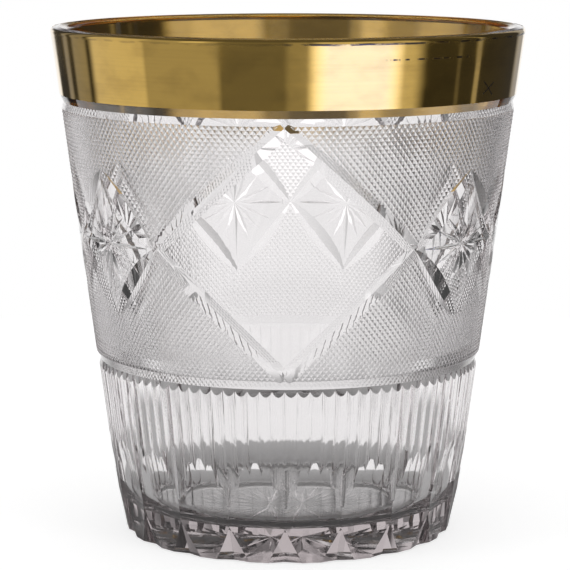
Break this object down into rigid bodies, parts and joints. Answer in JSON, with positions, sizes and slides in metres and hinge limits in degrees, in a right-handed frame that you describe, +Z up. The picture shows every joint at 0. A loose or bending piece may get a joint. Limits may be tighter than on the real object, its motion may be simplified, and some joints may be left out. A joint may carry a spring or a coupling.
{
  "type": "champagne cooler",
  "caption": "Tapered pail of cut glass that holds ice and a bottle, with a gilt band up to its bare lip, lozenges on a hatched ground, reeds and a fluted foot.",
  "frame": {"origin": "middle of the standing face", "axes": "+Z up along the pail's axis, -Y towards the large plain lozenge at the front, +X to the right of it"},
  "size_m": [0.1998, 0.1998, 0.215],
  "materials": {
    "cut_glass": "clear lead crystal, cut and polished",
    "gilding": "fired and burnished bright gold"
  },
  "bodies": {
    "root": {"glass_pail": "cut_glass", "gilt_band": "gilding"}
  },
  "joints": []
}
